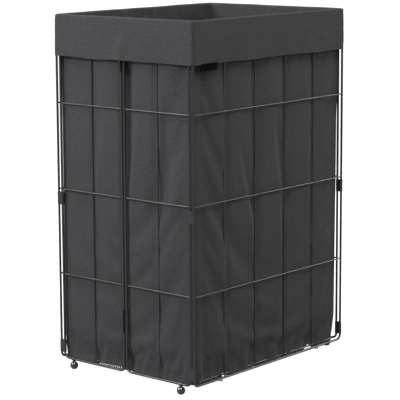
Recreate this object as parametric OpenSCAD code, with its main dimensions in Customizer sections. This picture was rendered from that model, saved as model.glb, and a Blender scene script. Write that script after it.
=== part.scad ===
// Folding wire laundry hamper with a hanging fabric bag.
// Millimetres. +X runs along the front, the front faces -Y, +Z is up, and the floor is Z = 0.

/* [Wire frame] */
// Width of the front and back panels, post centre to post centre
panel_width = 400; // [360:10:440]
// Depth from the front panel's plane to the back panel's plane
panel_depth = 300; // [280:10:340]
// Height of every panel, bottom rail centre to top rail centre
panel_height = 586; // [560:2:620]
// Diameter of the wire that each panel's outer loop is bent from
loop_wire = 4; // [3.8:0.1:4.2]
// Diameter of the crossbars and uprights
grid_wire = 2.4; // [2.2:0.1:2.6]
// Bend radius at the corners of a loop
loop_bend = 9; // [7:1:12]
// Rows of cells in every panel
cell_rows = 4; // [4:1:5]
// Columns of cells in the front and back panels
wide_columns = 5; // [5:1:6]
// Columns of cells in a half panel of a side
half_columns = 2; // [2:1:3]

/* [Hinge clips] */
// Distance between the two posts at a corner
corner_pitch = 8; // [7:0.5:9]
// Distance between the two posts in the middle of a side
centre_pitch = 6; // [6:0.5:7.5]
// Wall of a clip
clip_wall = 0.6; // [0.5:0.1:0.8]
// Height of a corner clip
corner_clip_height = 21; // [16:1:24]
// Height of a centre clip
centre_clip_height = 38; // [30:1:40]
// How far the pinched seam of a corner clip stands out
corner_seam = 0.3; // [0.2:0.1:0.5]
// How far the pinched seam of a centre clip stands out
centre_seam = 4.8; // [3:0.2:5]
// How far each side folds outwards, in degrees
fold_limit = 80; // [70:1:80]

/* [Feet] */
// Diameter of a ball foot
ball_diameter = 14; // [12:1:15]
// Distance of a foot from its corner post, along the side
foot_offset = 21; // [18:1:40]

/* [Base grid] */
// Distance between the wires that run front to back
base_spacing = 44; // [42:1:46]
// Diameter of the base's outer loop
base_loop_wire = 3; // [2.8:0.1:3.4]
// Wire of the hooks that catch the front rail
hook_wire = 1.6; // [1.5:0.1:1.8]

/* [Bag] */
// How far the turned-over top of the bag hangs down outside
cuff_drop = 72; // [60:1:80]
// Thickness of the cloth solids
cloth = 1.5; // [1.2:0.1:2]
// Width and height of the plain woven tag
tag_size = [42, 10];

/* [Hidden] */
$fn = 48;

wire_black = [0.09, 0.09, 0.1];
plastic_black = [0.03, 0.03, 0.03];
cloth_grey = [0.24, 0.24, 0.25];
cuff_grey = [0.28, 0.28, 0.29];

// Fits
post_play = 0.05;      // radial play of a half panel's post in its clip
weld = 0.2;            // how deep crossing wires are fused
rest_gap = 0.1;        // gap between the base's wire ends and the rails under them

// Heights
rail_z = 17.5;                                   // bottom rails
top_z = rail_z + panel_height;                   // top rails
row_height = panel_height / cell_rows;
rim_rise = 2.5;
rim_z = top_z + loop_wire / 2 + rim_rise;         // top of the cloth that lies over the rails
rim_cloth = 1.6;                                 // thickness of the cloth drawn over the rails
cuff_z = rim_z - cuff_drop;

// Widths
half_width = (panel_depth - 2 * corner_pitch - centre_pitch) / 2;
crossbar_inset = (loop_wire - grid_wire) / 2 - weld / 2;
upright_inset = crossbar_inset + grid_wire - weld;
grid_inside = upright_inset + grid_wire / 2;     // from a panel's plane to the inner face of its wires
clip_radius = loop_wire / 2 + clip_wall;

// Clip heights, at the lower end of each clip
bottom_clip_gap = 0.5;                           // above the loop's bend
middle_clip_share = 0.473;                       // of the panel's height, to the clip's middle
top_clip_drop = 58;                              // below the top rail
centre_clip_shares = [0.1143, 0.855];            // of the panel's height
corner_clip_z = [
    rail_z + loop_bend + bottom_clip_gap,
    rail_z + middle_clip_share * panel_height - corner_clip_height / 2,
    top_z - top_clip_drop
];
centre_clip_z = [for (share = centre_clip_shares) rail_z + share * panel_height];
seam_thick = 1.4;
// The two posts in a centre clip move this much apart half way through the fold
post_slide = centre_pitch / cos(fold_limit / 2) - centre_pitch;

// Base
base_z = rail_z + (loop_wire + grid_wire) / 2 + rest_gap;
base_side_gap = 2.8;
base_end_gap = 0.8;
base_half_x = panel_width / 2 - grid_inside - base_loop_wire / 2 - base_side_gap;
base_half_y = panel_depth / 2 - grid_inside - base_loop_wire / 2 - base_end_gap;
base_bend = 12;
base_runs = 3;                                   // front-to-back wires on each side of the middle one
rail_overlap = 0.5;                              // how far the longest wires reach past the rails' centres
hook_x = base_runs * base_spacing;
hook_spread = 6;
hook_drop = 4.2;                                 // from the rail's centre down to a hook's tip
hook_bend_drop = 2.6;                            // from the rail's centre down to a hook's bend
hook_reach = 3.3;                                // from the rail's centre back to a hook's bend
hook_splay = 1;                                  // how far each leg leans sideways above its bend

// Cloth, measured from a panel's plane
wall_in = grid_inside + 0.5;
cuff_out = clip_radius + corner_seam + 0.1;
cloth_gap = 0.3;
bag_floor_z = base_z + base_loop_wire / 2 + 0.4;
tag_inset = 14;                                  // from the corner post to the tag
tag_thick = 0.8;

// Feet
stud_diameter = 5;
stud_depth = 5;
ball_flat = 0.2;
saddle_length = 7;
saddle_wall = 0.9;

// Straight round wires along each axis
module x_wire(x0, x1, y, z, d) {
    translate([x0, y, z]) rotate([0, 90, 0]) cylinder(d = d, h = x1 - x0);
}

module y_wire(y0, y1, x, z, d) {
    translate([x, y0, z]) rotate([-90, 0, 0]) cylinder(d = d, h = y1 - y0);
}

module z_wire(z0, z1, x, y, d) {
    translate([x, y, z0]) cylinder(d = d, h = z1 - z0);
}

// A straight run of a bent wire between any two points, with round ends that make the bends
module bent_wire(a, b, d) {
    hull() {
        for (p = [a, b]) translate(p) sphere(d = d, $fn = 20);
    }
}

// A rectangular loop of round wire in the XY plane, from the origin to [w, h], with bent corners
module flat_loop(w, h, d, bend) {
    corners = [[bend, bend, 180], [w - bend, bend, 270], [w - bend, h - bend, 0], [bend, h - bend, 90]];
    for (c = corners)
        translate([c[0], c[1], 0]) rotate([0, 0, c[2]])
            rotate_extrude(angle = 90) translate([bend, 0]) circle(d = d);
    for (y = [0, h]) x_wire(bend, w - bend, y, 0, d);
    for (x = [0, w]) y_wire(bend, h - bend, x, 0, d);
}

// A welded panel standing on the XZ plane with its outside towards -Y
module wire_panel(w, columns) {
    color(wire_black) union() {
        rotate([90, 0, 0]) flat_loop(w, panel_height, loop_wire, loop_bend);
        for (i = [1 : cell_rows - 1])
            x_wire(0, w, crossbar_inset, i * row_height, grid_wire);
        for (i = [1 : columns - 1])
            z_wire(-grid_wire / 2, panel_height + grid_wire / 2, i * w / columns, upright_inset, grid_wire);
    }
}

// Puts what is drawn for the front left corner at the corner on side x, side y
module at_corner(x, y) {
    mirror([x > 0 ? 1 : 0, 0, 0]) mirror([0, y > 0 ? 1 : 0, 0]) children();
}

module wide_panel(y) {
    rotate([0, 0, y > 0 ? 180 : 0])
        translate([-panel_width / 2, -panel_depth / 2, rail_z]) wire_panel(panel_width, wide_columns);
}

module half_panel(x, y) {
    at_corner(x, y)
        translate([-panel_width / 2, -centre_pitch / 2, rail_z])
            rotate([0, 0, -90]) wire_panel(half_width, half_columns);
}

// A clip folded round two posts that stand pitch apart along +Y, with its pinched seam towards -X.
// The second bore is a slot that lets its post move away by slide.
module post_clip(pitch, height, seam, first_bore, second_bore, slide = 0) {
    color(wire_black) difference() {
        union() {
            for (y = [0, pitch + slide]) translate([0, y, 0]) cylinder(r = clip_radius, h = height);
            translate([-clip_radius, 0, 0]) cube([2 * clip_radius, pitch + slide, height]);
            translate([-clip_radius - seam, (pitch - seam_thick) / 2, 0])
                cube([clip_radius + seam, seam_thick, height]);
        }
        translate([0, 0, -1]) cylinder(d = first_bore, h = height + 2);
        hull() {
            for (y = [pitch, pitch + slide])
                translate([0, y, -1]) cylinder(d = second_bore, h = height + 2);
        }
    }
}

module corner_clip(x, y, level) {
    at_corner(x, y)
        translate([-panel_width / 2, -panel_depth / 2, corner_clip_z[level]])
            post_clip(corner_pitch, corner_clip_height, corner_seam, loop_wire, loop_wire + 2 * post_play);
}

// y is the half panel whose post the clip's round bore is on
module centre_clip(x, y, level) {
    bore = loop_wire + 2 * post_play;
    at_corner(x, y)
        translate([-panel_width / 2, -centre_pitch / 2, centre_clip_z[level]])
            post_clip(centre_pitch, centre_clip_height, centre_seam, bore, bore, post_slide);
}

// Feet: a saddle wrapped round the bottom rail with a short stud, and a ball pushed onto the stud
module at_foot(x, y) {
    at_corner(x, y) translate([-panel_width / 2, -panel_depth / 2 + corner_pitch + foot_offset, 0]) children();
}

module foot_ball(x, y) {
    color(plastic_black) at_foot(x, y) difference() {
        translate([0, 0, ball_diameter / 2 - ball_flat]) sphere(d = ball_diameter);
        translate([-ball_diameter, -ball_diameter, -ball_diameter]) cube([2, 2, 1] * ball_diameter);
        translate([0, 0, ball_diameter - stud_depth]) cylinder(d = stud_diameter, h = ball_diameter);
    }
}

module foot_saddle(x, y) {
    color(wire_black) at_foot(x, y) difference() {
        union() {
            translate([0, 0, ball_diameter - stud_depth])
                cylinder(d = stud_diameter, h = rail_z - ball_diameter + stud_depth);
            y_wire(-saddle_length / 2, saddle_length / 2, 0, rail_z, loop_wire + 2 * saddle_wall);
        }
        y_wire(-saddle_length, saddle_length, 0, rail_z, loop_wire);
    }
}

// The base hangs on the front rail: its front wire ends lie on top, and V-shaped hooks catch underneath
module base_wire_grid() {
    color(wire_black) union() {
        translate([-base_half_x, -base_half_y, base_z])
            flat_loop(2 * base_half_x, 2 * base_half_y, base_loop_wire, base_bend);
        for (i = [1 - base_runs : base_runs - 1])
            y_wire(-base_half_y, base_half_y, i * base_spacing, base_z, grid_wire);
        for (x = [-hook_x, hook_x])
            y_wire(-panel_depth / 2 + rail_overlap, panel_depth / 2 + rail_overlap, x, base_z, grid_wire);
        for (y = [-1, 1])
            x_wire(-base_half_x, base_half_x, y * base_half_y / 3, base_z, grid_wire);
    }
}

module base_hook(x) {
    tip = [0, -panel_depth / 2 - 1, rail_z - hook_drop];
    // Each leg runs back under the rail, then up into the base's front wire
    color(wire_black) translate([x, 0, 0]) difference() {
        for (s = [-1, 1]) {
            low = [s * hook_spread, -panel_depth / 2 + hook_reach, rail_z - hook_bend_drop];
            high = [s * (hook_spread + hook_splay), -base_half_y, base_z];
            bent_wire(tip, low, hook_wire);
            bent_wire(low, high, hook_wire);
        }
        x_wire(-4 * hook_spread, 4 * hook_spread, -base_half_y, base_z, base_loop_wire);
    }
}

// Cloth: a wall hangs inside its panel and lies over the rail, and a cuff hangs outside it.
// Both are drawn for a run of cloth from x0 to x1 whose panel stands on the XZ plane, outside towards -Y.
module cloth_wall(x0, x1, over0, over1) {
    color(cloth_grey) {
        translate([x0, wall_in, bag_floor_z + cloth + cloth_gap])
            cube([x1 - x0, cloth, rim_z - bag_floor_z - cloth - cloth_gap]);
        translate([over0, -cuff_out - cloth, rim_z - rim_cloth])
            cube([over1 - over0, wall_in + cuff_out + 2 * cloth, rim_cloth]);
    }
}

module cloth_cuff(x0, x1) {
    color(cuff_grey) translate([x0, -cuff_out - cloth, cuff_z])
        cube([x1 - x0, cloth, rim_z - rim_cloth - cuff_z]);
}

module wide_cloth(y) {
    rotate([0, 0, y > 0 ? 180 : 0]) translate([0, -panel_depth / 2, 0]) children();
}

module half_cloth(x, y) {
    at_corner(x, y) translate([-panel_width / 2, -panel_depth / 2, 0]) rotate([0, 0, -90]) children();
}

inner_half_x = panel_width / 2 - wall_in;
outer_half_x = panel_width / 2 + cuff_out + cloth;
side_start = wall_in + cloth + cloth_gap;        // where a side's cloth starts, behind the front cloth
side_end = panel_depth / 2 - cloth_gap / 2;
cuff_start = cloth_gap - cuff_out;
cuff_end = (panel_depth - centre_pitch) / 2 - cloth_gap;

module bag_wide_wall(y) {
    wide_cloth(y) cloth_wall(-inner_half_x, inner_half_x, -outer_half_x, outer_half_x);
}

module bag_wide_cuff(y) {
    wide_cloth(y) cloth_cuff(-outer_half_x, outer_half_x);
}

module bag_half_wall(x, y) {
    half_cloth(x, y) cloth_wall(-side_end, -side_start, -side_end, -side_start);
}

module bag_half_cuff(x, y) {
    half_cloth(x, y) cloth_cuff(-cuff_end, -cuff_start);
}

module bag_bottom() {
    half_x = inner_half_x - cloth - cloth_gap;
    half_y = panel_depth / 2 - side_start;
    color(cloth_grey) translate([-half_x, -half_y, bag_floor_z]) cube([2 * half_x, 2 * half_y, cloth]);
}

module bag_tag() {
    color("black")
        translate([-panel_width / 2 + tag_inset, -panel_depth / 2 - cuff_out - cloth / 2, cuff_z - tag_size[1]])
            cube([tag_size[0], tag_thick, tag_size[1]]);
}

wide_panel(-1);  // front_wire_panel
wide_panel(1);  // back_wire_panel
half_panel(-1, -1);  // left_front_wire_panel
half_panel(-1, 1);  // left_back_wire_panel
half_panel(1, -1);  // right_front_wire_panel
half_panel(1, 1);  // right_back_wire_panel
base_wire_grid();
base_hook(-hook_x);  // base_left_hook
base_hook(hook_x);  // base_right_hook
corner_clip(-1, -1, 0);  // front_left_bottom_clip
corner_clip(-1, -1, 1);  // front_left_middle_clip
corner_clip(-1, -1, 2);  // front_left_top_clip
corner_clip(1, -1, 0);  // front_right_bottom_clip
corner_clip(1, -1, 1);  // front_right_middle_clip
corner_clip(1, -1, 2);  // front_right_top_clip
corner_clip(-1, 1, 0);  // back_left_bottom_clip
corner_clip(-1, 1, 1);  // back_left_middle_clip
corner_clip(-1, 1, 2);  // back_left_top_clip
corner_clip(1, 1, 0);  // back_right_bottom_clip
corner_clip(1, 1, 1);  // back_right_middle_clip
corner_clip(1, 1, 2);  // back_right_top_clip
centre_clip(-1, -1, 0);  // left_lower_centre_clip
centre_clip(-1, -1, 1);  // left_upper_centre_clip
centre_clip(1, -1, 0);  // right_lower_centre_clip
centre_clip(1, 1, 1);  // right_upper_centre_clip
foot_saddle(-1, -1);  // left_front_foot_saddle
foot_ball(-1, -1);  // left_front_foot_ball
foot_saddle(-1, 1);  // left_back_foot_saddle
foot_ball(-1, 1);  // left_back_foot_ball
foot_saddle(1, -1);  // right_front_foot_saddle
foot_ball(1, -1);  // right_front_foot_ball
foot_saddle(1, 1);  // right_back_foot_saddle
foot_ball(1, 1);  // right_back_foot_ball
bag_wide_wall(-1);  // bag_front_wall
bag_wide_cuff(-1);  // bag_front_cuff
bag_wide_wall(1);  // bag_back_wall
bag_wide_cuff(1);  // bag_back_cuff
bag_half_wall(-1, -1);  // bag_left_front_wall
bag_half_cuff(-1, -1);  // bag_left_front_cuff
bag_half_wall(-1, 1);  // bag_left_back_wall
bag_half_cuff(-1, 1);  // bag_left_back_cuff
bag_half_wall(1, -1);  // bag_right_front_wall
bag_half_cuff(1, -1);  // bag_right_front_cuff
bag_half_wall(1, 1);  // bag_right_back_wall
bag_half_cuff(1, 1);  // bag_right_back_cuff
bag_bottom();
bag_tag();
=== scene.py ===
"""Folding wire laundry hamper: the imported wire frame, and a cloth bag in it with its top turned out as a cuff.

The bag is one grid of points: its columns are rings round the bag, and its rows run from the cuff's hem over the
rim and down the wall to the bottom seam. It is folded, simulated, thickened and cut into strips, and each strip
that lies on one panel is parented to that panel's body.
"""
import math

import bpy
import numpy as np
from mathutils import Matrix, Vector, noise


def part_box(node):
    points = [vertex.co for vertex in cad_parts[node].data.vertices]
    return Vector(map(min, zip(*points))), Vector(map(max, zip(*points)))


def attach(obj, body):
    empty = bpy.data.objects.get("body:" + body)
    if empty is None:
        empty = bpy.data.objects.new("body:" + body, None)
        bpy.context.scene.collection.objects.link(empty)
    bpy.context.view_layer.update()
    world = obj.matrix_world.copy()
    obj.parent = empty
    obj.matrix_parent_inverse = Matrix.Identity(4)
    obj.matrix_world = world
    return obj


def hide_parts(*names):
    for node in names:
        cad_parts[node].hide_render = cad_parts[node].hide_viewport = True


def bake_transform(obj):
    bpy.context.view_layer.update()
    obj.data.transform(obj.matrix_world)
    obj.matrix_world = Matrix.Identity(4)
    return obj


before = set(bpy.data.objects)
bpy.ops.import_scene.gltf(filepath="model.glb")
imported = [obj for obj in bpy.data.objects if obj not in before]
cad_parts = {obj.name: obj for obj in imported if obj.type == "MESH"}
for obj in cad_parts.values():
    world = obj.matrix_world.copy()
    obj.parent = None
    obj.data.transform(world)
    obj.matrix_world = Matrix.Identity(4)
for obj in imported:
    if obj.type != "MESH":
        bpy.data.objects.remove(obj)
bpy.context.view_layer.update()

MM = 0.001

# ---------------------------------------------------------------- sizes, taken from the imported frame
front_low, front_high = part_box("front_wire_panel")
cuff_low, cuff_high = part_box("bag_front_cuff")
half_low, half_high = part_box("left_front_wire_panel")
tag_low, tag_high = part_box("bag_tag")
hook_low, hook_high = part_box("base_right_hook")

LOOP_R = 2.0 * MM                                   # radius of the outer loops' wire
GRID_R = 1.2 * MM                                   # radius of the grid wire
PLANE_X = front_high.x - LOOP_R                     # from the middle to a side's plane
PLANE_Y = -(front_low.y + LOOP_R)                   # from the middle to the front's plane
RAIL_Z = front_low.z + LOOP_R                       # bottom rails
TOP_Z = front_high.z - LOOP_R                       # top rails
WIRES_INSIDE = front_high.y + PLANE_Y               # from a panel's plane to its wires' inner face
RIM_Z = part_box("bag_front_wall")[1].z                # top of the cloth over the rails
HEM_Z = cuff_low.z                                  # lower edge of the cuff
BAG_FLOOR_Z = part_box("bag_bottom")[0].z
ROWS, WIDE_COLUMNS, HALF_COLUMNS = 4, 5, 2          # cells in a panel
ROW_H = (TOP_Z - RAIL_Z) / ROWS
CENTRE_Y = -half_high.y + LOOP_R                    # a side's centre posts stand this far either side of Y = 0
CORNER_Y = -half_low.y - LOOP_R                     # a half panel's corner post
HOOK_X = (hook_low.x + hook_high.x) / 2             # the base's longest wires
BASE_SPACING = 44 * MM                              # between the base's wires


# ---------------------------------------------------------------- camera
def make_camera():
    data = bpy.data.cameras.new("camera")
    camera = bpy.data.objects.new("camera", data)
    bpy.context.scene.collection.objects.link(camera)
    data.lens = 152.1
    data.sensor_width = 36.0
    data.shift_y = -0.07
    heading, down, roll = math.radians(49.654), math.radians(8.961), math.radians(-0.293)
    away, height = 2.8818, 0.7832                     # metres from the origin along the floor, and above it
    bearing = math.radians(49.745)
    camera.matrix_world = (
        Matrix.Translation((-away * math.sin(bearing), -away * math.cos(bearing), height))
        @ Matrix.Rotation(-heading, 4, "Z")
        @ Matrix.Rotation(math.pi / 2 - down, 4, "X")
        @ Matrix.Rotation(roll, 4, "Z")
    )
    data.clip_start, data.clip_end = 0.05, 60.0
    bpy.context.scene.camera = camera


# ---------------------------------------------------------------- materials
class Nodes:
    """A node material being built: add(type, inputs...) makes a node, and link(out, in) joins two sockets."""

    def __init__(self, name):
        self.material = bpy.data.materials.new(name)
        self.material.use_nodes = True
        self.tree = self.material.node_tree
        self.tree.nodes.clear()
        self.shader = self.add("ShaderNodeBsdfPrincipled")
        out = self.add("ShaderNodeOutputMaterial")
        self.link(self.shader.outputs[0], out.inputs["Surface"])

    def add(self, kind, **values):
        node = self.tree.nodes.new(kind)
        for key, value in values.items():
            if hasattr(node, key):
                setattr(node, key, value)
            else:
                node.inputs[key.replace("_", " ")].default_value = value
        return node

    def link(self, out, into):
        self.tree.links.new(out, into)

    def math(self, operation, a, b=None, c=None):
        node = self.add("ShaderNodeMath", operation=operation)
        for socket, value in zip(node.inputs, (a, b, c)):
            if value is None:
                continue
            if isinstance(value, (int, float)):
                socket.default_value = value
            else:
                self.link(value, socket)
        return node.outputs[0]

    def mix(self, factor, a, b):
        node = self.add("ShaderNodeMix", data_type="RGBA")
        self.link(factor, node.inputs["Factor"])
        for name, value in (("A", a), ("B", b)):
            socket = [s for s in node.inputs if s.name == name and s.type == "RGBA"][0]
            if isinstance(value, tuple):
                socket.default_value = (*value, 1.0)
            else:
                self.link(value, socket)
        return [s for s in node.outputs if s.type == "RGBA"][0]

    def ramp(self, value, low, high):
        node = self.add("ShaderNodeMapRange")
        self.link(value, node.inputs["Value"])
        node.inputs["From Min"].default_value = low
        node.inputs["From Max"].default_value = high
        return node.outputs[0]

    def bump(self, height, strength, distance):
        node = self.add("ShaderNodeBump")
        node.inputs["Strength"].default_value = strength
        node.inputs["Distance"].default_value = distance
        self.link(height, node.inputs["Height"])
        self.link(node.outputs[0], self.shader.inputs["Normal"])

    def set(self, **values):
        for key, value in values.items():
            self.shader.inputs[key.replace("_", " ")].default_value = value


def noise_texture(n, coordinates, scale, detail=2.0):
    node = n.add("ShaderNodeTexNoise", Scale=scale, Detail=detail)
    n.link(coordinates, node.inputs["Vector"])
    return node.outputs["Fac"]


def powder_coat(name, colour, roughness):
    """Satin powder coat: fine orange peel, and a slightly uneven gloss."""
    n = Nodes(name)
    place = n.add("ShaderNodeTexCoord").outputs["Object"]
    broad = noise_texture(n, place, 35.0)
    peel = noise_texture(n, place, 1400.0)
    dark, light = tuple(c * 0.85 for c in colour), tuple(c * 1.2 for c in colour)
    n.link(n.mix(n.ramp(broad, 0.3, 0.7), dark, light), n.shader.inputs["Base Color"])
    n.link(n.math("MULTIPLY_ADD", broad, 0.16, roughness - 0.08), n.shader.inputs["Roughness"])
    n.set(Specular_IOR_Level=0.5)
    n.bump(peel, 0.25, 0.0002)
    return n.material


def gloss_plastic(name):
    n = Nodes(name)
    place = n.add("ShaderNodeTexCoord").outputs["Object"]
    smear = noise_texture(n, place, 120.0, 4.0)
    n.link(n.mix(n.ramp(smear, 0.3, 0.75), (0.008, 0.008, 0.009), (0.018, 0.018, 0.019)),
           n.shader.inputs["Base Color"])
    n.link(n.math("MULTIPLY_ADD", smear, 0.12, 0.08), n.shader.inputs["Roughness"])
    n.set(Specular_IOR_Level=0.55, Coat_Weight=0.4, Coat_Roughness=0.06)
    n.bump(smear, 0.08, 0.0002)
    return n.material


def woven_cloth(name, dark, light, pitch, depth=0.35, roughness=0.9, sheen=0.04, gloss=0.12):
    """Plain weave on a mesh whose UV map is in metres, with the mottled tone of spun polyester and painted shade
    between the thread crowns.
    """
    n = Nodes(name)
    uv = n.add("ShaderNodeUVMap").outputs["UV"]
    split = n.add("ShaderNodeSeparateXYZ")
    n.link(uv, split.inputs[0])
    turns = 2 * math.pi / (2 * pitch)
    warp = n.math("SINE", n.math("MULTIPLY", split.outputs["X"], turns))
    weft = n.math("SINE", n.math("MULTIPLY", split.outputs["Y"], turns))
    over = n.math("MULTIPLY", warp, weft)
    crowns = n.math("ABSOLUTE", over)
    slub = n.add("ShaderNodeMapping")
    n.link(uv, slub.inputs["Vector"])
    slub.inputs["Scale"].default_value = (900.0, 260.0, 1.0)
    slub_noise = noise_texture(n, slub.outputs[0], 1.0, 2.0)
    mottle = noise_texture(n, uv, 420.0, 3.0)
    cloudy = noise_texture(n, uv, 14.0, 2.0)
    melange = noise_texture(n, uv, 230.0, 2.0)
    tone = n.math("ADD", n.math("MULTIPLY", mottle, 0.5), n.math("MULTIPLY", slub_noise, 0.3))
    tone = n.math("ADD", tone, n.math("MULTIPLY", cloudy, 0.15))
    tone = n.math("ADD", n.math("MULTIPLY", tone, 0.7), n.math("MULTIPLY", melange, 0.32))
    colour = n.mix(n.ramp(tone, 0.36, 0.64), dark, light)
    # Painted shade: the colour goes darker, down to 0.72 of the dark tone, between the thread crowns, in the weave's
    # hollows.
    shade = n.ramp(crowns, -0.35, 0.6)
    n.link(n.mix(shade, tuple(c * 0.72 for c in dark), colour), n.shader.inputs["Base Color"])
    height = n.math("ADD", over, n.math("MULTIPLY", slub_noise, 0.6))
    n.bump(height, depth, 0.00035)
    n.set(Roughness=roughness, Sheen_Weight=sheen, Sheen_Roughness=0.45, Specular_IOR_Level=gloss)
    return n.material


def floor_material():
    """Pale floor that the camera sees as white, while it throws only a little light back."""
    n = Nodes("studio floor")
    seen = n.add("ShaderNodeLightPath").outputs["Is Camera Ray"]
    n.link(n.math("MULTIPLY_ADD", seen, 0.9, 0.08), n.shader.inputs["Emission Strength"])
    n.set(Base_Color=(0.24, 0.24, 0.24, 1.0), Roughness=0.9, Specular_IOR_Level=0.0)
    n.set(Emission_Color=(1.0, 1.0, 1.0, 1.0))
    return n.material


# ---------------------------------------------------------------- meshes
def mesh_object(name, points, faces, material, uv=None, smooth=True):
    mesh = bpy.data.meshes.new(name)
    mesh.from_pydata([tuple(p) for p in points], [], [tuple(f) for f in faces])
    mesh.materials.append(material)
    if smooth:
        mesh.polygons.foreach_set("use_smooth", [True] * len(mesh.polygons))
    if uv is not None:
        layer = mesh.uv_layers.new(name="metres")
        corner = np.empty(len(mesh.loops), int)
        mesh.loops.foreach_get("vertex_index", corner)
        layer.data.foreach_set("uv", np.asarray(uv, float)[corner].ravel())
    mesh.validate()
    obj = bpy.data.objects.new(name, mesh)
    bpy.context.scene.collection.objects.link(obj)
    return obj


def smoothstep(x, low=0.0, high=1.0):
    t = np.clip((np.asarray(x, float) - low) / (high - low), 0.0, 1.0)
    return t * t * (3 - 2 * t)


# ---------------------------------------------------------------- the bag's rings
# A ring is one closed turn round the bag. It starts in the middle of the right side and runs to the back,
# along the back, down the left side, along the front and back up the right side.
WIDE_STEPS, SIDE_STEPS, CORNER_STEPS = 56, 42, 8    # columns in a wide side, a short side and a corner
HALF_SIDE = SIDE_STEPS // 2
BACK_RIGHT, BACK_LEFT, FRONT_LEFT, FRONT_RIGHT = range(4)


def ring(out, radii):
    """Points of a rounded rectangle, out metres outside the panels' planes, with one radius per corner."""
    hx, hy = PLANE_X + out, PLANE_Y + out
    signs = ((1, 1), (-1, 1), (-1, -1), (1, -1))

    def arc(corner):
        sx, sy = signs[corner]
        r = radii[corner]
        angles = np.radians(90 * corner + np.linspace(0, 90, CORNER_STEPS + 1))[:-1]
        return [(sx * (hx - r) + r * math.cos(a), sy * (hy - r) + r * math.sin(a)) for a in angles]

    def run(start, end, steps):
        return [tuple(np.array(start) + (np.array(end) - start) * i / steps) for i in range(steps)]

    points = run((hx, 0.0), (hx, hy - radii[0]), HALF_SIDE)
    points += arc(BACK_RIGHT)
    points += run((hx - radii[0], hy), (radii[1] - hx, hy), WIDE_STEPS)
    points += arc(BACK_LEFT)
    points += run((-hx, hy - radii[1]), (-hx, 0.0), HALF_SIDE)
    points += run((-hx, 0.0), (-hx, radii[2] - hy), HALF_SIDE)
    points += arc(FRONT_LEFT)
    points += run((radii[2] - hx, -hy), (hx - radii[3], -hy), WIDE_STEPS)
    points += arc(FRONT_RIGHT)
    points += run((hx, radii[3] - hy), (hx, 0.0), HALF_SIDE)
    return np.array(points)


PLANE_RING = ring(0.0, (2 * MM,) * 4)               # where each column stands on the panels' planes
TURN = len(PLANE_RING)
CORNER_START = (HALF_SIDE, HALF_SIDE + CORNER_STEPS + WIDE_STEPS,
                HALF_SIDE + 2 * CORNER_STEPS + WIDE_STEPS + SIDE_STEPS,
                HALF_SIDE + 3 * CORNER_STEPS + 2 * WIDE_STEPS + SIDE_STEPS)


def ring_normals(points):
    ahead = np.roll(points, -1, axis=0) - np.roll(points, 1, axis=0)
    normal = np.stack([ahead[:, 1], -ahead[:, 0]], axis=1)
    return normal / np.linalg.norm(normal, axis=1)[:, None]


def panel_place():
    """For each column of the ring: its distance to the nearest upright or post of its panel."""
    near = np.full(TURN, 1.0)
    for i, (x, y) in enumerate(PLANE_RING):
        if abs(abs(y) - PLANE_Y) < 1.5 * MM:
            step = 2 * PLANE_X / WIDE_COLUMNS
            near[i] = min(abs(x + PLANE_X - k * step) for k in range(WIDE_COLUMNS + 1))
        else:
            span = CORNER_Y - CENTRE_Y
            near[i] = min(abs(abs(y) - CENTRE_Y - k * span / HALF_COLUMNS) for k in range(HALF_COLUMNS + 1))
            near[i] = min(near[i], abs(y))
    return near


def soft_noise(x, y, z, scale, seed):
    return noise.noise(Vector((x * scale + seed * 7.3, y * scale - seed * 3.1, z * scale + seed * 1.7)))


# ---------------------------------------------------------------- the bag's profile
CUFF_ROWS, RIM_ROWS, WALL_ROWS, LIP_ROWS = 13, 18, 85, 4   # the rim's rows end where the wall's begin
WALL_FOOT = RIM_ROWS + WALL_ROWS - 1                # the wall's last row, at the bottom seam
CLOTH = 0.9 * MM                                    # thickness
WIRE_GAP = 0.3 * MM                                 # least room between the cloth and the wires
RIM_BAND = 24 * MM, 26 * MM                         # the cuff and the wall run in to the rail over this height
CUFF_RADIUS, RIM_RADIUS = 6.5 * MM, 7.0             # the rim's corners, in mm, lose half a millimetre a row
LIP_DROP = 6.8 * MM                                 # how far the bottom seam's allowance hangs down
WALL_OUT = -(WIRES_INSIDE + WIRE_GAP + CLOTH / 2)   # the wall's cloth, inside the wires
CUFF_OUT = -(cuff_high.y + cuff_low.y) / 2 - PLANE_Y - 0.6 * MM
RIM_OUT = LOOP_R + 0.7 * MM                         # the cloth drawn tight over a rail
FOOT_Z = BAG_FLOOR_Z + CLOTH


def profile():
    """(out, z, along) of each row, from the cuff's hem over the rim to the lower edge of the seam allowance."""
    rows = []
    for i in range(CUFF_ROWS):
        z = HEM_Z + (TOP_Z - HEM_Z) * i / (CUFF_ROWS - 1)
        rows.append((CUFF_OUT + (RIM_OUT - CUFF_OUT) * smoothstep(z, TOP_Z - RIM_BAND[0], TOP_Z), z))
    for i in range(1, 6):
        a = math.pi * i / 6
        rows.append((RIM_OUT * math.cos(a), TOP_Z + RIM_OUT * math.sin(a)))
    for i in range(WALL_ROWS):
        t = i / (WALL_ROWS - 1)
        drawn_in = 0.6 * MM * smoothstep(t, 0.97, 1.0)
        z = TOP_Z + (FOOT_Z - TOP_Z) * t
        to_rim = smoothstep(z, TOP_Z - RIM_BAND[1], TOP_Z)
        rows.append((WALL_OUT - drawn_in - (WALL_OUT + RIM_OUT) * to_rim, z))
    for i in range(1, LIP_ROWS + 1):
        rows.append((rows[WALL_FOOT][0], FOOT_Z - LIP_DROP * i / LIP_ROWS))
    rows = np.array(rows, float)
    along = np.concatenate([[0.0], np.cumsum(np.linalg.norm(np.diff(rows, axis=0), axis=1))])
    return np.column_stack([rows, along])


PROFILE = profile()
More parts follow.
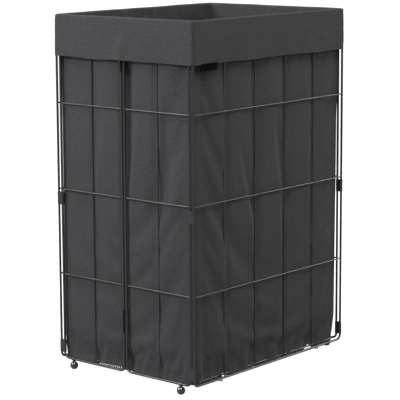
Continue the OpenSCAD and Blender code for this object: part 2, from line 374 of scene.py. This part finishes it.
# Each corner of the wall as it goes down: where, its radius in mm, and how far its edge is drawn outwards in mm
DOWN = (0.0, 0.06, 0.11, 0.19, 0.24, 0.32, 0.45, 0.60, 0.75, 0.93, 1.0)
RADII = {
    BACK_RIGHT: (5, 5, 5, 5, 6, 7, 8, 9, 10, 12, 16),
    BACK_LEFT: (4, 4, 4, 4, 4, 4, 4, 4, 4, 4, 6),
    FRONT_LEFT: (5, 5, 5, 5, 5.5, 6, 7, 8, 9, 10, 14),
    FRONT_RIGHT: (4, 4, 4, 4, 4.5, 6.5, 7, 8.5, 9.5, 11.5, 22),
}
EARS = {
    BACK_RIGHT: (2.0, 1.5, 1.5, 1.2, 0.6, 0, 0, 0, 0, 0, 0),
    BACK_LEFT: (2.5, 2.0, 3.6, 3.2, 0.8, 0.6, 0.6, 0.8, 1.0, 1.2, 0.6),
    FRONT_LEFT: (2.0, 1.5, 1.5, 1.2, 0.6, 0, 0, 0, 0, 0, 0),
    FRONT_RIGHT: (2.0, 1.5, 1.6, 1.2, 0.8, 0, 0, 0, 0, 0, 0),
}
EAR_WIDTH = 0.38                                    # as a share of a corner's arc


def bag_grid():
    """Rest points of the bag as an array [row, column, xyz], and outward normals of the rings."""
    grid = np.empty((len(PROFILE), TURN, 3))
    outward = np.empty((len(PROFILE), TURN, 2))
    for r, (out, z, _) in enumerate(PROFILE):
        if r < CUFF_ROWS:
            radii, t = (CUFF_RADIUS,) * 4, None
        elif r < RIM_ROWS:
            radii, t = ((RIM_RADIUS - 0.5 * (r - CUFF_ROWS)) * MM,) * 4, None
        else:
            t = min((r - RIM_ROWS) / (WALL_ROWS - 1), 1.0)
            radii = tuple(np.interp(t, DOWN, RADII[k]) * MM for k in range(4))
        flat = ring(out, radii)
        outward[r] = ring_normals(flat)
        if t is not None:
            for k in range(4):
                for i in range(-1, CORNER_STEPS + 2):
                    c = CORNER_START[k] + i
                    reach = math.exp(-((i / CORNER_STEPS - 0.5) / EAR_WIDTH) ** 2)
                    flat[c] += outward[r, c] * np.interp(t, DOWN, EARS[k]) * MM * reach
        grid[r, :, :2] = flat
        grid[r, :, 2] = z
    return grid, outward


def keep_clear(grid, outward, flat):
    """Limits how far the walls bulge outwards, so that the cloth stays behind the wires."""
    near = panel_place()
    z = grid[RIM_ROWS:, :, 2]
    level = np.abs((z - RAIL_Z + ROW_H / 2) % ROW_H - ROW_H / 2)    # height above or below the nearest crossbar
    bars = WIRES_INSIDE - 2 * GRID_R + 0.2 * MM
    free_bar = 3.0 * MM * smoothstep(level, 3 * MM, 26 * MM) - bars
    at_bar = np.minimum(free_bar, -1.0 * MM)
    post = -(WIRES_INSIDE + WIRE_GAP) + (WIRES_INSIDE + 3.0 * MM) * smoothstep(near, 1.5 * MM, 15 * MM)
    limit = np.minimum(at_bar, post[None, :]) - CLOTH / 2
    moved = np.einsum("rci,rci->rc", grid[RIM_ROWS:, :, :2] - flat[RIM_ROWS:, :, :2], outward[RIM_ROWS:])
    room = limit - PROFILE[RIM_ROWS:, 0][:, None]
    corners = np.concatenate([np.arange(s - 2, s + CORNER_STEPS + 3) for s in CORNER_START])
    room[:, corners] = np.minimum(room[:, corners], 0.1 * MM)
    soft = 1.2 * MM
    excess = np.maximum(moved - (room - soft), 0.0)
    allowed = np.where(moved > room - soft, room - soft + soft * (1 - np.exp(-excess / soft)), moved)
    grid[RIM_ROWS:, :, :2] += outward[RIM_ROWS:] * (allowed - moved)[..., None]
    return grid


# Single folds: side, (along, z) at the top and at the bottom, half width, and height outwards, in mm. The last two
# are times FOLD_WIDTH and FOLD_HEIGHT.
FOLDS = (
    ("front", (-112, 430), (-40, 225), 11, 3.2), ("front", (-92, 425), (-22, 225), 9, -3.0),
    ("front", (-12, 455), (40, 205), 12, 3.2), ("front", (10, 450), (60, 215), 9, -3.0),
    ("front", (95, 400), (150, 180), 14, 2.6), ("front", (-150, 300), (-95, 120), 14, 2.2),
    ("left", (-12, 560), (-7, 320), 9, -4.5), ("left", (-84, 490), (-92, 250), 7, -3.2),
    ("left", (60, 480), (62, 120), 8, -2.2), ("left", (-40, 430), (-50, 200), 13, 2.2),
)
FOLD_WIDTH, FOLD_HEIGHT = 1.45, 1.2
# The uneven folds everywhere, in mm outwards: slow and quick ones, the belly of a cell, and the gathers at the seam
LONG_FOLD, SMALL_FOLD, BELLY, GATHER = 3.2, 0.9, 1.6, 4.2
WALL_IN, SEAM_IN = 1.0, 3.0                         # in mm, how far these folds are set back, and more at the seam


def fold_push(side, along, z):
    """How far the single folds of a side push its cloth outwards, in mm."""
    push = np.zeros_like(z)
    for where, (a0, z0), (a1, z1), width, height in FOLDS:
        if where != side:
            continue
        t = (z0 * MM - z) / ((z0 - z1) * MM)
        middle = (a0 + (a1 - a0) * t) * MM
        fade = smoothstep(t, -0.1, 0.25) * (1 - smoothstep(t, 0.7, 1.15))
        push += FOLD_HEIGHT * height * fade * np.exp(-((along - middle) / (FOLD_WIDTH * width * MM)) ** 2)
    return push


def shaped_folds(grid, outward):
    """Soft folds that drift sideways as they go down, and gathers above the bottom seam."""
    z = grid[RIM_ROWS:, :, 2]
    t = (z.max() - z) / (z.max() - z.min())
    x, y = grid[RIM_ROWS:, :, 0], grid[RIM_ROWS:, :, 1]
    arc = np.concatenate([[0], np.cumsum(np.linalg.norm(np.diff(PLANE_RING, axis=0), axis=1))])
    near = panel_place()
    belly = smoothstep(near, 2 * MM, 38 * MM)
    push = np.empty_like(z)
    for r in range(z.shape[0]):
        for c in range(z.shape[1]):
            drift = arc[c] + 0.10 * t[r, c]
            long_fold = noise.noise(Vector((drift * 17.0, z[r, c] * 2.2, 3.7)))
            small_fold = noise.noise(Vector((drift * 46.0, z[r, c] * 5.0, 9.1)))
            gather = noise.noise(Vector((drift * 75.0, z[r, c] * 11.0, 5.3)))
            low = float(smoothstep(t[r, c], 0.90, 0.985))
            push[r, c] = LONG_FOLD * long_fold + SMALL_FOLD * small_fold + BELLY * belly[c] - WALL_IN
            push[r, c] += low * (GATHER * gather - SEAM_IN)
    on_front = (np.abs(y + PLANE_Y) < 9 * MM) & (np.abs(x) < PLANE_X - 15 * MM)
    on_left = (np.abs(x + PLANE_X) < 9 * MM) & (np.abs(y) < PLANE_Y - 15 * MM)
    push += np.where(on_front, fold_push("front", x, z), 0.0)
    push += np.where(on_left, fold_push("left", y, z), 0.0)
    corner = np.ones(TURN)
    for k in range(4):
        corner[CORNER_START[k] - 1:CORNER_START[k] + CORNER_STEPS + 2] = 0.1
    envelope = smoothstep(t, 0.0, 0.12) * (1 - 0.35 * smoothstep(t, 0.97, 1.0)) * corner[None, :]
    grid[RIM_ROWS:, :, :2] += outward[RIM_ROWS:] * (push * envelope * MM)[..., None]
    return grid


def shaped_lip(grid, outward):
    """The allowance of the bottom seam bulges out and down in each cell, and stays up behind the uprights."""
    room = smoothstep(panel_place(), 1.6 * MM, 9 * MM)
    on_wide = np.abs(np.abs(PLANE_RING[:, 1]) - PLANE_Y) < MM
    past_hook = smoothstep(np.abs(np.abs(PLANE_RING[:, 0]) - HOOK_X), 2.4 * MM, 8 * MM)
    room = np.where(on_wide, np.minimum(room, past_hook), room)
    fall = np.where(on_wide, past_hook, 1.0)
    for start in CORNER_START:
        room[start - 1:start + CORNER_STEPS + 2] = 0.0
    first = WALL_FOOT - 4
    for r in range(first, len(PROFILE)):
        share = smoothstep(r, first - 1, len(PROFILE) - 1)
        below = max(0, r - WALL_FOOT) / LIP_ROWS
        for c in range(TURN):
            x, y, _ = grid[r, c]
            uneven = 0.5 * soft_noise(x, y, 0.0, 26.0, 8)
            grid[r, c, :2] += outward[r, c] * room[c] * share * (2.4 + 0.6 * uneven) * MM
            grid[r, c, 2] += below * LIP_DROP * (1.0 - fall[c] * (1.0 - 0.15 * abs(uneven)))
    return grid


def shaped_cuff(grid, outward):
    """The cuff hangs almost flat, with slow waves that grow towards its hem, and stands off over each centre clip."""
    for r in range(RIM_ROWS):
        z = grid[r, 0, 2]
        down = float(smoothstep((RIM_Z - z) / (RIM_Z - HEM_Z), 0.0, 1.0))
        for c in range(TURN):
            x, y, _ = grid[r, c]
            wave = 1.3 * soft_noise(x, y, z * 0.35, 14.0, 1) + 0.5 * soft_noise(x, y, z, 45.0, 2)
            grid[r, c, :2] += outward[r, c] * wave * down * MM if r < CUFF_ROWS else 0.0
            if abs(abs(x) - PLANE_X) < 12 * MM and r < CUFF_ROWS:
                low = float(1 - smoothstep(z, HEM_Z + 20 * MM, HEM_Z + 45 * MM))
                grid[r, c, :2] += outward[r, c] * 3.8 * MM * (math.exp(-(y / (9 * MM)) ** 2) * low)
            if r == 0:
                grid[r, c, 2] += 1.6 * MM * soft_noise(x, y, 0.0, 16.0, 4)
            lift = soft_noise(x, y, 0.0, 22.0, 5)
            if CUFF_ROWS - 1 <= r:
                grid[r, c, 2] += 0.55 * MM * lift - 0.3 * MM
    return grid


SIM_FRAMES, SIM_SHARE = 26, 0.55                    # how much of the simulated movement is used


def simulate_walls(grid):
    """Cloth simulation of the walls, cut a little too big and held at the rim, the seam and lightly at the uprights."""
    walls = grid[RIM_ROWS - 1:RIM_ROWS + WALL_ROWS]
    rows = walls.shape[0]
    index = np.arange(rows * TURN).reshape(rows, TURN)
    faces = []
    for r in range(rows - 1):
        for c in range(TURN):
            d = (c + 1) % TURN
            faces.append((index[r, c], index[r + 1, c], index[r + 1, d], index[r, d]))
    obj = mesh_object("bag_simulation", walls.reshape(-1, 3), faces, bpy.data.materials[0])
    near = panel_place()
    hold = obj.vertex_groups.new(name="hold")
    weights = np.zeros((rows, TURN))
    weights[:, near < 4 * MM] = 0.10
    for start in CORNER_START:
        weights[:, start - 1:start + CORNER_STEPS + 2] = 1.0
    weights[:2] = 1.0
    weights[-2:] = 1.0
    for value in np.unique(weights):
        if value > 0:
            hold.add([int(i) for i in index[weights == value]], float(value), "REPLACE")
    modifier = obj.modifiers.new("cloth", "CLOTH")
    cloth = modifier.settings
    cloth.quality = 5
    cloth.mass = 0.12
    cloth.tension_stiffness = cloth.compression_stiffness = 12
    cloth.shear_stiffness = 6
    cloth.bending_stiffness = 0.6
    cloth.air_damping = 2.0
    cloth.vertex_group_mass = "hold"
    cloth.pin_stiffness = 1.0
    cloth.shrink_min = -0.006
    cloth.use_pressure = True
    cloth.uniform_pressure_force = 0.25
    cloth.effector_weights.gravity = 0.3
    modifier.collision_settings.use_collision = False
    modifier.collision_settings.use_self_collision = False
    scene = bpy.context.scene
    scene.frame_start, scene.frame_end = 1, 30
    modifier.point_cache.frame_start, modifier.point_cache.frame_end = 1, 30
    for f in range(1, SIM_FRAMES + 1):
        scene.frame_set(f)
    evaluated = obj.evaluated_get(bpy.context.evaluated_depsgraph_get())
    result = np.array([v.co for v in evaluated.data.vertices], float).reshape(rows, TURN, 3)
    scene.frame_set(1)
    bpy.data.objects.remove(obj)
    moved = grid.copy()
    walls = moved[RIM_ROWS - 1:RIM_ROWS + WALL_ROWS]
    walls += SIM_SHARE * (result - walls)
    return moved


# ---------------------------------------------------------------- the bag's pieces
CORNER_REACH, CENTRE_REACH = 22 * MM, 12 * MM       # how far from a corner or a centre the cloth starts to bend
CLIP_REACH = 2 * MM                                 # on the right the bend ends this far from the middle
BEND_Z = 0.3                                        # the height of the two points that give a bend


def half_sections():
    """(piece, first column, last column, bodies, where the bend between them starts and ends) round the ring."""
    def column(x=None, y=None, side=0):
        """The ring's column nearest to x or y, on the positive or negative side of the other one."""
        value = PLANE_RING[:, 0] if x is not None else PLANE_RING[:, 1]
        other = PLANE_RING[:, 1] if x is not None else PLANE_RING[:, 0]
        wanted = x if x is not None else y
        good = np.where(np.sign(other) == side, np.abs(value - wanted), 9.0)
        return int(np.argmin(good))

    wide, deep = 0.75 * PLANE_X, 0.66 * PLANE_Y
    marks = [
        0, column(y=deep, side=1), column(x=wide, side=1), column(x=-wide, side=1), column(y=deep, side=-1),
        column(y=0.0, side=-1), column(y=-deep, side=-1), column(x=-wide, side=-1), column(x=wide, side=-1),
        column(y=-deep, side=1), TURN,
    ]

    def corner(sx, sy):
        start = (sx * (PLANE_X - CORNER_REACH), sy * PLANE_Y, BEND_Z)
        end = (sx * PLANE_X, sy * (PLANE_Y - CORNER_REACH), BEND_Z)
        return start, end

    def centre(sx, first, last):
        return (sx * PLANE_X, first, BEND_Z), (sx * PLANE_X, last, BEND_Z)

    left_bend = centre(-1, -CENTRE_REACH, CENTRE_REACH)
    rows = (
        ("bag_right_back", ("right_back_half", "right_upper_clip"), centre(1, CENTRE_REACH, CLIP_REACH)),
        ("bag_back_right_corner", ("back_panel", "right_back_half"), corner(1, 1)),
        ("bag_back", ("back_panel",), None),
        ("bag_back_left_corner", ("back_panel", "left_back_half"), corner(-1, 1)),
        ("bag_left_back", ("left_front_half", "left_back_half"), left_bend),
        ("bag_left_front", ("left_front_half", "left_back_half"), left_bend),
        ("bag_front_left_corner", ("front_panel", "left_front_half"), corner(-1, -1)),
        ("bag_front", ("front_panel",), None),
        ("bag_front_right_corner", ("front_panel", "right_front_half"), corner(1, -1)),
        ("bag_right_front", ("right_front_half", "right_lower_clip"), centre(1, -CENTRE_REACH, -CLIP_REACH)),
    )
    return [(name, marks[i], marks[i + 1], bodies, bend) for i, (name, bodies, bend) in enumerate(rows)]


def refined(grid):
    """Twice as many rows and columns, on a smooth surface through the same points."""
    def twice(a, axis, closed):
        a = np.moveaxis(a, axis, 0)
        n = len(a)
        if closed:
            before, after, after2 = np.roll(a, 1, 0), np.roll(a, -1, 0), np.roll(a, -2, 0)
            middle = (9 * (a + after) - before - after2) / 16
            out = np.empty((2 * n, *a.shape[1:]))
            out[0::2], out[1::2] = a, middle
        else:
            padded = np.concatenate([2 * a[:1] - a[1:2], a, 2 * a[-1:] - a[-2:-1]])
            middle = (9 * (a[:-1] + a[1:]) - padded[:n - 1] - padded[3:n + 2]) / 16
            out = np.empty((2 * n - 1, *a.shape[1:]))
            out[0::2], out[1::2] = a, middle
        return np.moveaxis(out, 0, axis)

    return twice(twice(grid, 0, False), 1, True)


def grid_normals(grid):
    across = np.roll(grid, -1, axis=1) - np.roll(grid, 1, axis=1)
    down = np.gradient(grid, axis=0)
    normal = np.cross(down, across)
    return normal / np.linalg.norm(normal, axis=2)[..., None]


def build_bag(cloth):
    grid, outward = bag_grid()
    flat = grid.copy()
    grid = shaped_folds(grid, outward)
    grid = simulate_walls(grid)
    grid = keep_clear(grid, outward, flat)
    grid = shaped_lip(grid, outward)
    grid = shaped_cuff(grid, outward)
    fine = refined(grid)
    normals = grid_normals(fine)
    rows, columns = fine.shape[:2]
    outer, inner = fine + normals * CLOTH / 2, fine - normals * CLOTH / 2
    around = np.concatenate([[0], np.cumsum(np.linalg.norm(np.diff(fine[rows // 2], axis=0), axis=1))])
    around = np.append(around, around[-1] + np.linalg.norm(fine[rows // 2, 0] - fine[rows // 2, -1]))
    along = np.interp(np.arange(rows) / 2, np.arange(len(PROFILE)), PROFILE[:, 2])
    for name, first, last, bodies, bend in half_sections():
        a, b = 2 * first, 2 * last
        pick = [c % columns for c in range(a, b + 1)]
        wide = len(pick)
        points = np.concatenate([outer[:, pick].reshape(-1, 3), inner[:, pick].reshape(-1, 3)])
        direction = np.concatenate([normals[:, pick].reshape(-1, 3), -normals[:, pick].reshape(-1, 3)])
        uv = np.stack(np.meshgrid(around[a:b + 1], along), axis=2).reshape(-1, 2)
        uv = np.concatenate([uv, uv])
        index = np.arange(rows * wide).reshape(rows, wide)
        under = rows * wide
        faces = []
        for r in range(rows - 1):
            for c in range(wide - 1):
                q = (index[r, c], index[r + 1, c], index[r + 1, c + 1], index[r, c + 1])
                faces.append(q)
                faces.append(tuple(v + under for v in reversed(q)))
        edge = [*index[0, :], *index[1:, -1], *index[-1, -2::-1], *index[-2:0:-1, 0]]
        for v, w in zip(edge, edge[1:] + edge[:1]):
            faces.append((v, w, w + under, v + under))
        obj = mesh_object(name, points, faces, cloth, uv)
        obj.data.normals_split_custom_set_from_vertices([tuple(v) for v in direction])
        if bend is None:
            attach(obj, bodies[0])
        else:
            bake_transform(obj)
    stands_for = {
        "bag_back": ("bag_back_wall", "bag_back_cuff"), "bag_front": ("bag_front_wall", "bag_front_cuff"),
        "bag_left_front": ("bag_left_front_wall", "bag_left_front_cuff"),
        "bag_left_back": ("bag_left_back_wall", "bag_left_back_cuff"),
        "bag_right_front": ("bag_right_front_wall", "bag_right_front_cuff"),
        "bag_right_back": ("bag_right_back_wall", "bag_right_back_cuff"),
    }
    for name, nodes in stands_for.items():
        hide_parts(*nodes)
    return fine


def build_bottom(cloth, fine):
    """The bag's bottom lies on the base wires and sags a little between them."""
    edge = fine[2 * WALL_FOOT, :, :2] * 0.998
    rings = 26
    points, faces, uv = [], [], []
    columns = len(edge)
    for k in range(rings):
        s = 1 - k / (rings - 0.5)
        for x, y in edge * s:
            sag = 0.6 * MM * (math.cos(x * 2 * math.pi / BASE_SPACING) - 1) * min(1.0, 4 * (1 - s))
            points.append((x, y, BAG_FLOOR_Z + CLOTH / 2 + 0.8 * MM + sag))
            uv.append((x, y))
    for k in range(rings - 1):
        for c in range(columns):
            d = (c + 1) % columns
            faces.append((k * columns + c, k * columns + d, (k + 1) * columns + d, (k + 1) * columns + c))
    faces.append(tuple((rings - 1) * columns + c for c in range(columns)))
    obj = mesh_object("bag_bottom_cloth", points, faces, cloth, uv)
    thick = obj.modifiers.new("thick", "SOLIDIFY")
    thick.thickness, thick.offset = CLOTH, 0.0
    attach(obj, "base")
    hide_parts("bag_bottom")
    return obj


def build_tag(material):
    """A folded woven tag, sewn into the cuff's hem and hanging just below it."""
    width, height = tag_high.x - tag_low.x, tag_high.z - tag_low.z
    steps, rows, sewn = 28, 16, 2 * MM
    points, faces, uv = [], [], []
    for j in range(rows + 1):
        t = j / rows
        for i in range(steps + 1):
            s = i / steps
            curl = 0.5 * MM * t * math.sin(math.pi * s) + 0.25 * MM * math.sin(5 * s) * t
            z = tag_high.z + sewn - (height + sewn) * t
            points.append((tag_low.x + width * s, tag_low.y + 0.2 * MM - curl, z))
            uv.append((width * s, height * t))
    for j in range(rows):
        for i in range(steps):
            a = j * (steps + 1) + i
            faces.append((a, a + steps + 1, a + steps + 2, a + 1))
    obj = mesh_object("woven_tag", points, faces, material, uv)
    thick = obj.modifiers.new("thick", "SOLIDIFY")
    thick.thickness, thick.offset = 0.6 * MM, 0.0
    round_edge = obj.modifiers.new("round edge", "BEVEL")
    round_edge.width, round_edge.segments = 0.15 * MM, 2
    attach(obj, "front_panel")
    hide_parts("bag_tag")
    return obj


def build_overlock(thread):
    """Overlock stitches along the bottom seam, on the left side next to its middle. Their near-white thread colour is a
    painted highlight for the glints of the seam's thread.
    """
    y0, y1, pitch, thread_r = CENTRE_Y + 8 * MM, 66 * MM, 4.4 * MM, 0.75 * MM
    points, faces, uv = [], [], []
    x = -PLANE_X - WALL_OUT - 2.9 * MM
    steps, sides = 6, 6
    for k in range(int((y1 - y0) / pitch)):
        y = y0 + k * pitch
        size = 1.0 - 0.5 * k * pitch / (y1 - y0)
        base = len(points)
        for i in range(steps + 1):
            t = i / steps
            cx = x - 0.9 * MM * math.sin(math.pi * t)
            cy = y + 0.8 * MM * t
            cz = FOOT_Z - 4.6 * MM + 3.6 * MM * size * t
            r = thread_r * math.sin(math.pi * (0.12 + 0.76 * t))
            for j in range(sides):
                a = 2 * math.pi * j / sides
                points.append((cx + r * math.cos(a), cy + r * math.sin(a), cz))
                uv.append((t * 3 * MM, j * 0.3 * MM))
        for i in range(steps):
            for j in range(sides):
                a, b = base + i * sides + j, base + i * sides + (j + 1) % sides
                faces.append((a, b, b + sides, a + sides))
        faces.append(tuple(base + j for j in reversed(range(sides))))
        faces.append(tuple(base + steps * sides + j for j in range(sides)))
    obj = mesh_object("overlock_stitches", points, faces, thread, uv)
    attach(obj, "left_back_half")


# ---------------------------------------------------------------- the studio
def area_light(name, place, target, size, power):
    data = bpy.data.lights.new(name, "AREA")
    data.shape, data.size, data.energy = "DISK", size, power
    light = bpy.data.objects.new(name, data)
    light.location = place
    light.rotation_euler = (Vector(target) - Vector(place)).to_track_quat("-Z", "Y").to_euler()
    bpy.context.scene.collection.objects.link(light)


def make_studio():
    """White ground and world to the camera, which light the hamper less than they show, and three soft lights."""
    world = bpy.data.worlds.new("studio")
    bpy.context.scene.world = world
    world.use_nodes = True
    tree = world.node_tree
    tree.nodes.clear()
    seen, lit = tree.nodes.new("ShaderNodeBackground"), tree.nodes.new("ShaderNodeBackground")
    path, mix = tree.nodes.new("ShaderNodeLightPath"), tree.nodes.new("ShaderNodeMixShader")
    out = tree.nodes.new("ShaderNodeOutputWorld")
    seen.inputs["Color"].default_value = lit.inputs["Color"].default_value = (1.0, 1.0, 1.0, 1.0)
    seen.inputs["Strength"].default_value, lit.inputs["Strength"].default_value = 1.05, 0.55
    tree.links.new(path.outputs["Is Camera Ray"], mix.inputs[0])
    tree.links.new(lit.outputs[0], mix.inputs[1])
    tree.links.new(seen.outputs[0], mix.inputs[2])
    tree.links.new(mix.outputs[0], out.inputs["Surface"])
    half = 30.0
    corners = [(-half, -half, 0), (half, -half, 0), (half, half, 0), (-half, half, 0)]
    floor = mesh_object("studio_floor", corners, [(0, 1, 2, 3)], floor_material(), smooth=False)
    aim = (0.0, 0.0, 0.35)
    area_light("key", (-1.65, 1.0, 1.5), aim, 1.2, 80.0)
    area_light("top", (-0.85, -0.95, 2.55), aim, 1.1, 88.0)
    area_light("edge", (2.4, -1.4, 1.1), aim, 0.8, 42.0)
    bpy.context.scene.view_settings.view_transform = "Standard"


def dress_frame():
    """Gives every carried-over CAD node its finish."""
    wire = powder_coat("black powder coat", (0.010, 0.0105, 0.012), 0.34)
    clip = powder_coat("black clip steel", (0.013, 0.0135, 0.015), 0.32)
    ball = gloss_plastic("gloss black plastic")
    for name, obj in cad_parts.items():
        if name.startswith("bag_"):
            continue
        if "ball" in name:
            material = ball
        elif "clip" in name or "saddle" in name:
            material = clip
        else:
            material = wire
        obj.data.materials.clear()
        obj.data.materials.append(material)


make_camera()
make_studio()
dress_frame()
bag_cloth = woven_cloth("charcoal polyester", (0.019, 0.0195, 0.021), (0.042, 0.0425, 0.045), 0.5 * MM)
tag_cloth = woven_cloth("black tag weave", (0.0012, 0.0012, 0.0013), (0.003, 0.003, 0.0032), 0.3 * MM,
                        depth=0.3, roughness=0.9, sheen=0.0, gloss=0.02)
fine_grid = build_bag(bag_cloth)
build_bottom(bag_cloth, fine_grid)
build_tag(tag_cloth)
# The thread's near-white colour is painted highlight, standing in for the glints of the seam's thread.
build_overlock(woven_cloth("white sewing thread", (0.55, 0.55, 0.54), (0.8, 0.8, 0.79), 0.25 * MM,
                           depth=0.3, roughness=0.6, sheen=0.0))
